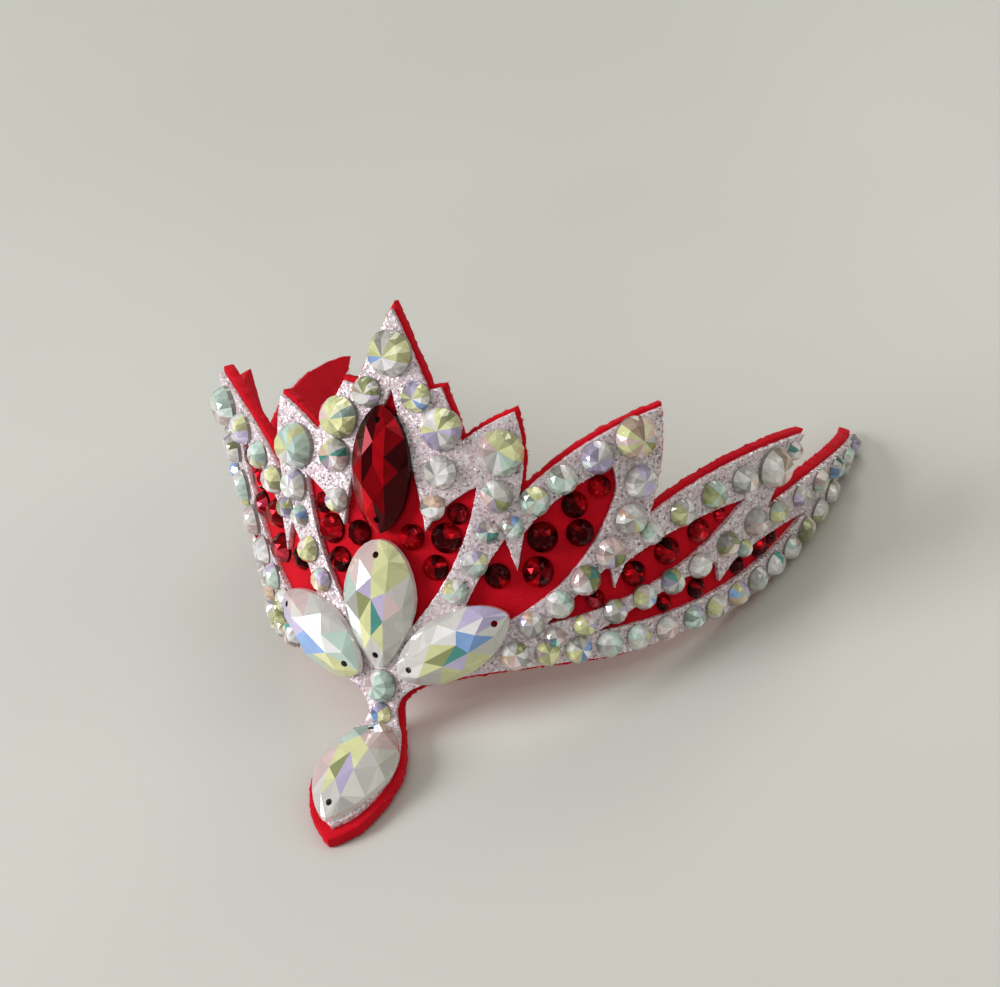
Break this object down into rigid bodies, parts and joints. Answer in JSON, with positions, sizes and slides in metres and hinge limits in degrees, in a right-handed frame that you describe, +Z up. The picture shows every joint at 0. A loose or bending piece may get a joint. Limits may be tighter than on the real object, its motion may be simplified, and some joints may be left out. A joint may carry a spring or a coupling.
{
  "type": "bun crown",
  "caption": "Jewelled felt crown that wraps round a hair bun: leaf-shaped wings, a tall spire, sew-on crystals and a pendant that lies over the hairline",
  "frame": {"origin": "on the table, below the middle of the crown's bounding box", "axes": "+X to the right of the crown's front as the picture shows it, -Y the front with the pendant, +Z up, in metres, with the crown lying back on a table"},
  "size_m": [0.1122, 0.1222, 0.0644],
  "materials": {
    "red_felt": "matt fibrous felt",
    "silver_glitter_sheet": "coarse silver glitter on a soft sheet",
    "clear_coated_crystal": "faceted, foiled back, rainbow coating",
    "deep_red_crystal": "faceted, foiled back"
  },
  "bodies": {
    "root": {"centre_drop": "clear_coated_crystal", "crimson_felt_base": "red_felt", "fan_round": "clear_coated_crystal", "glitter_overlay": "silver_glitter_sheet", "left_first_leaf_lower_round": "clear_coated_crystal", "left_first_leaf_round": "clear_coated_crystal", "left_navette": "clear_coated_crystal", "left_second_leaf_low_round": "clear_coated_crystal", "left_second_leaf_rise_round": "clear_coated_crystal", "left_second_leaf_root_round": "clear_coated_crystal", "left_second_leaf_round": "clear_coated_crystal", "left_second_leaf_side_round": "clear_coated_crystal", "left_shoulder_lower_round": "clear_coated_crystal", "left_shoulder_round": "clear_coated_crystal", "left_spire_side_round": "clear_coated_crystal", "left_third_leaf_round": "clear_coated_crystal", "pendant_drop": "clear_coated_crystal", "red_navette": "deep_red_crystal", "right_first_leaf_lower_round": "clear_coated_crystal", "right_first_leaf_round": "clear_coated_crystal", "right_navette": "clear_coated_crystal", "right_second_leaf_low_round": "clear_coated_crystal", "right_second_leaf_rise_round": "clear_coated_crystal", "right_second_leaf_root_round": "clear_coated_crystal", "right_second_leaf_round": "clear_coated_crystal", "right_second_leaf_side_round": "clear_coated_crystal", "right_shoulder_lower_round": "clear_coated_crystal", "right_shoulder_round": "clear_coated_crystal", "right_spire_side_round": "clear_coated_crystal", "right_third_leaf_round": "clear_coated_crystal", "spire_round": "clear_coated_crystal"}
  },
  "joints": []
}
